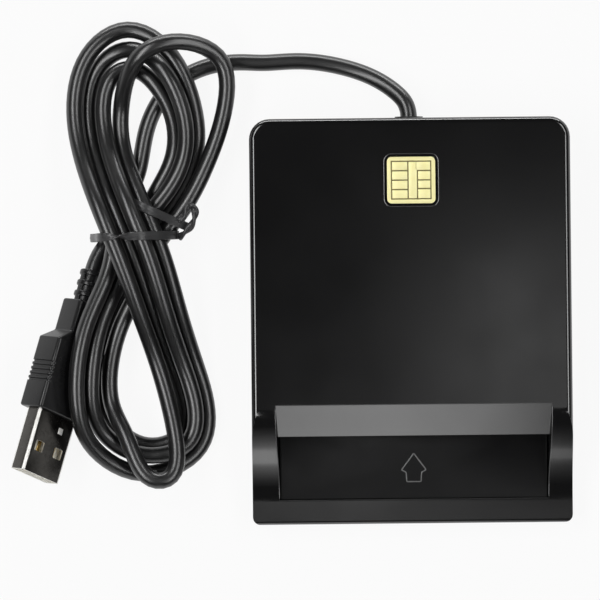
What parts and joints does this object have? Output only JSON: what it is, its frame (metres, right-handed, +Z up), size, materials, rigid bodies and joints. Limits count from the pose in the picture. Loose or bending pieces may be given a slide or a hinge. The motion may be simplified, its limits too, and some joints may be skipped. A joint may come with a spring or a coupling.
{
  "type": "smart card reader",
  "caption": "Low black desktop reader for chip cards, with a slot under a cut-away brow, a gold chip emblem, and a captive cable folded into a tied hank.",
  "frame": {"origin": "centre of the case's plan, on the surface it stands on", "axes": "+Y from the front lip to the cable side, along the case's longer edge; +Z up; +X to the right of the person who faces the slot"},
  "size_m": [0.1315, 0.1185, 0.0194],
  "materials": {
    "case_black": "gloss",
    "base_black": "fine satin",
    "emblem_gold": "pale satin gold",
    "board": "green lacquer",
    "frame_black": "matt",
    "contact_gold": "satin",
    "ivory_plastic": "satin",
    "lever_black": "satin",
    "chip_black": "matt",
    "can_steel": "satin",
    "capacitor_tan": "matt",
    "resistor_black": "matt",
    "wire_skin": "satin, one colour to each wire",
    "grommet_rubber": "matt",
    "screw_steel": "zinc",
    "foot_rubber": "matt",
    "cord_pvc": "soft satin",
    "plug_pvc": "soft satin",
    "shell_steel": "bright nickel",
    "tie_black": "satin"
  },
  "bodies": {
    "base": {"top_cover": "case_black", "bottom_cover": "base_black", "chip_emblem": "emblem_gold", "circuit_board": "board", "connector_frame": "frame_black", "switch_case": "ivory_plastic", "controller_chip": "chip_black", "crystal": "can_steel", "capacitors": "capacitor_tan", "resistors": "resistor_black", "wire_socket": "ivory_plastic", "wire_housing": "ivory_plastic", "inner_leads": "wire_skin", "cord_grommet": "grommet_rubber", "case_screws": "screw_steel", "board_screws": "screw_steel", "foot_front_left": "foot_rubber", "foot_front_right": "foot_rubber", "foot_rear_left": "foot_rubber", "foot_rear_right": "foot_rubber", "cord_lead": "cord_pvc", "cord_hank": "cord_pvc", "plug_strain_relief": "plug_pvc", "plug_grip": "plug_pvc", "plug_shell": "shell_steel", "plug_tongue": "ivory_plastic", "plug_contacts": "contact_gold", "twist_tie": "tie_black"},
    "front_contacts": {"contact_row_front": "contact_gold"},
    "rear_contacts": {"contact_row_rear": "contact_gold"},
    "card_lever": {"switch_lever": "lever_black"}
  },
  "joints": [
    {"name": "front_contact_lift", "type": "hinge", "parent": "base", "child": "front_contacts", "pos_m": [0.0031, 0.01413, 0.0089], "axis": [1, 0, 0], "range_deg": [0, 6], "stiffness_Nm_per_rad": 0.01},
    {"name": "rear_contact_lift", "type": "hinge", "parent": "base", "child": "rear_contacts", "pos_m": [0.0031, 0.03575, 0.0089], "axis": [-1, 0, 0], "range_deg": [0, 6], "stiffness_Nm_per_rad": 0.01},
    {"name": "card_lever_swing", "type": "hinge", "parent": "base", "child": "card_lever", "pos_m": [-0.02, 0.0382, 0.0097], "axis": [1, 0, 0], "range_deg": [0, 42], "stiffness_Nm_per_rad": 0.0005}
  ]
}
